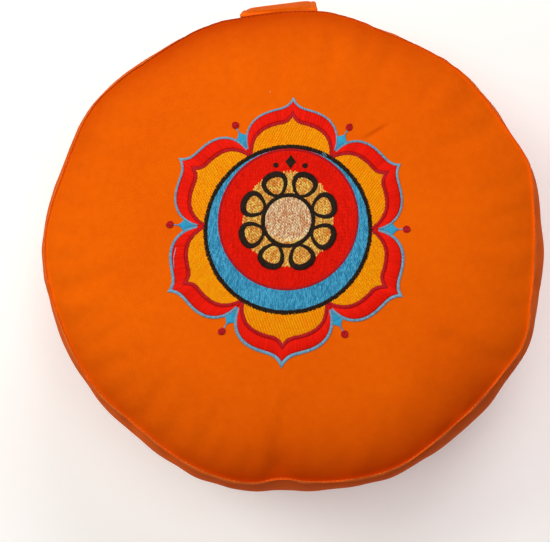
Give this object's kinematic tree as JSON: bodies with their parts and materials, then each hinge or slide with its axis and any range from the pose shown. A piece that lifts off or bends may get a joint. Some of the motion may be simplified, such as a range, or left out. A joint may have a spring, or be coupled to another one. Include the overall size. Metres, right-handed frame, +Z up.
{
  "type": "round meditation cushion",
  "caption": "Round firm-filled floor cushion for sitting in meditation, with a crowned panel, bulging side wall and a cloth carrying strap.",
  "frame": {"origin": "middle of the flat base, on the floor", "axes": "+Z up out of the embroidered panel, +Y towards the carrying strap, +X to the right when the emblem is read upright"},
  "size_m": [0.3306, 0.329, 0.1704],
  "materials": {
    "orange_twill": "dull brushed cotton twill, fine diagonal weave",
    "orange_twill_strap": "the same twill, folded and edge stitched",
    "embroidery_thread": "glossy machine embroidery thread, in several colours"
  },
  "bodies": {
    "root": {"cushion": "orange_twill", "carry_handle": "orange_twill_strap"}
  },
  "joints": []
}
